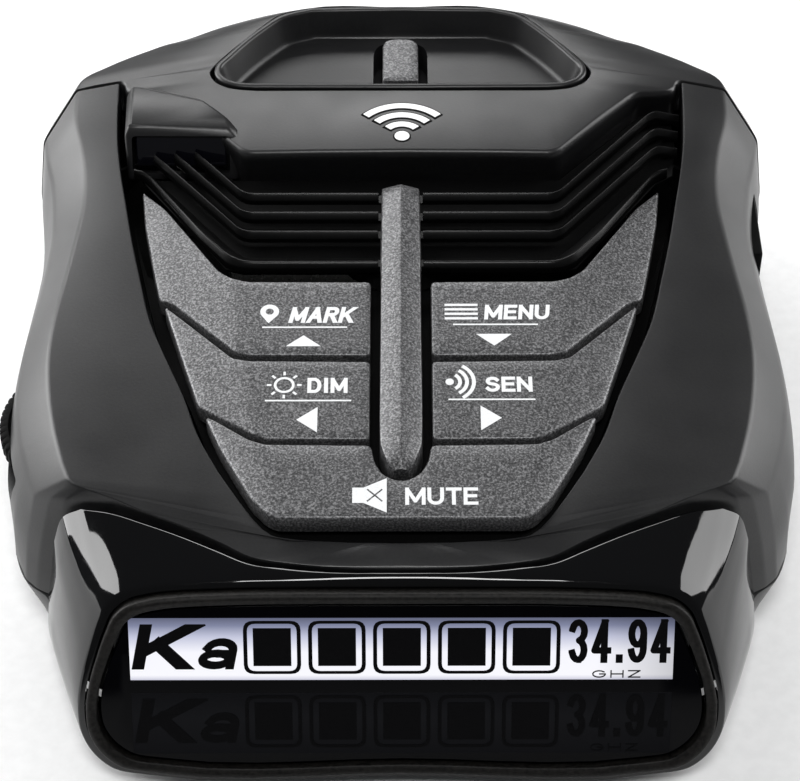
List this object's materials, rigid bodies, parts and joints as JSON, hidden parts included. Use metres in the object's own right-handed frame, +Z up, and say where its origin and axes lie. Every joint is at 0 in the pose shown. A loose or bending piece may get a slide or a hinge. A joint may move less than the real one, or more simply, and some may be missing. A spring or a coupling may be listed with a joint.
{
  "type": "radar detector",
  "caption": "Windshield radar detector: black waisted housing, slanted front display nose, folded metallic keys round a ridge, louvred vents, bracket tray with latch, side thumbwheel.",
  "frame": {"origin": "bottom centre of the whole object's box, on the plane that the rubber feet stand on", "axes": "+Y towards the windshield end, the display faces -Y towards the driver, +X to the driver's right, +Z up"},
  "size_m": [0.1072, 0.1188, 0.0364],
  "materials": {
    "satin_black": "satin, fine moulded grain",
    "gloss_black": "piano gloss",
    "ring_texture": "coarse moulded grain",
    "key_metallic": "metallic paint with fine flake",
    "smoke_lens": "polished, smoke tinted",
    "display_glass": "gloss",
    "board_black": "solder mask",
    "sensor_black": "matte",
    "shield_tin": "tinned sheet",
    "cast_metal": "as cast",
    "steel": "satin",
    "rubber": "matte",
    "legend_print": "printed paint"
  },
  "bodies": {
    "housing": {"board_connector": "satin_black", "bottom_case": "satin_black", "case_screw_1": "steel", "case_screw_2": "steel", "case_screw_3": "steel", "case_screw_4": "steel", "center_spine": "key_metallic", "display_bezel": "gloss_black", "display_board": "board_black", "display_module": "display_glass", "display_ring": "ring_texture", "display_window": "smoke_lens", "foot_1": "rubber", "foot_2": "rubber", "foot_3": "rubber", "foot_4": "rubber", "front_cap": "satin_black", "front_laser_sensor": "sensor_black", "front_lens": "smoke_lens", "key_board": "board_black", "keypad_deck": "satin_black", "latch_spring": "steel", "main_board": "board_black", "microwave_module": "shield_tin", "mount_tray": "satin_black", "power_jack": "satin_black", "radar_horn": "cast_metal", "rear_laser_pod": "satin_black", "rear_laser_sensor": "sensor_black", "rear_laser_window": "smoke_lens", "speaker": "sensor_black", "speaker_grille": "satin_black", "switch_dim": "steel", "switch_mark": "steel", "switch_menu": "steel", "switch_mute": "steel", "switch_sensitivity": "steel", "top_frame": "satin_black", "usb_port": "steel", "volume_control": "board_black"},
    "button_mark": {"button_mark": "key_metallic"},
    "button_menu": {"button_menu": "key_metallic"},
    "button_dim": {"button_dim": "key_metallic"},
    "button_sensitivity": {"button_sensitivity": "key_metallic"},
    "button_mute": {"button_mute": "key_metallic"},
    "mount_release_latch": {"mount_release_latch": "key_metallic"},
    "volume_wheel": {"volume_wheel": "satin_black"}
  },
  "joints": [
    {"name": "button_mark_press", "type": "slide", "parent": "housing", "child": "button_mark", "axis": [0, 0.0579, -0.9983], "range_m": [0, 0.0005], "stiffness_N_per_m": 800, "springref_m": -0.0005},
    {"name": "button_menu_press", "type": "slide", "parent": "housing", "child": "button_menu", "axis": [0, 0.0579, -0.9983], "range_m": [0, 0.0005], "stiffness_N_per_m": 800, "springref_m": -0.0005},
    {"name": "button_dim_press", "type": "slide", "parent": "housing", "child": "button_dim", "axis": [0, 0.0579, -0.9983], "range_m": [0, 0.0005], "stiffness_N_per_m": 800, "springref_m": -0.0005},
    {"name": "button_sensitivity_press", "type": "slide", "parent": "housing", "child": "button_sensitivity", "axis": [0, 0.0579, -0.9983], "range_m": [0, 0.0005], "stiffness_N_per_m": 800, "springref_m": -0.0005},
    {"name": "button_mute_press", "type": "slide", "parent": "housing", "child": "button_mute", "axis": [0, 0.0579, -0.9983], "range_m": [0, 0.0005], "stiffness_N_per_m": 800, "springref_m": -0.0005},
    {"name": "latch_press", "type": "slide", "parent": "housing", "child": "mount_release_latch", "axis": [0, 0, -1], "range_m": [0, 0.001], "stiffness_N_per_m": 600, "springref_m": -0.001, "deforming": ["latch_spring"]},
    {"name": "volume_turn", "type": "hinge", "parent": "housing", "child": "volume_wheel", "pos_m": [-0.0429, -0.0126, 0.018], "axis": [0, 0, 1], "range_deg": [-135, 135]}
  ]
}
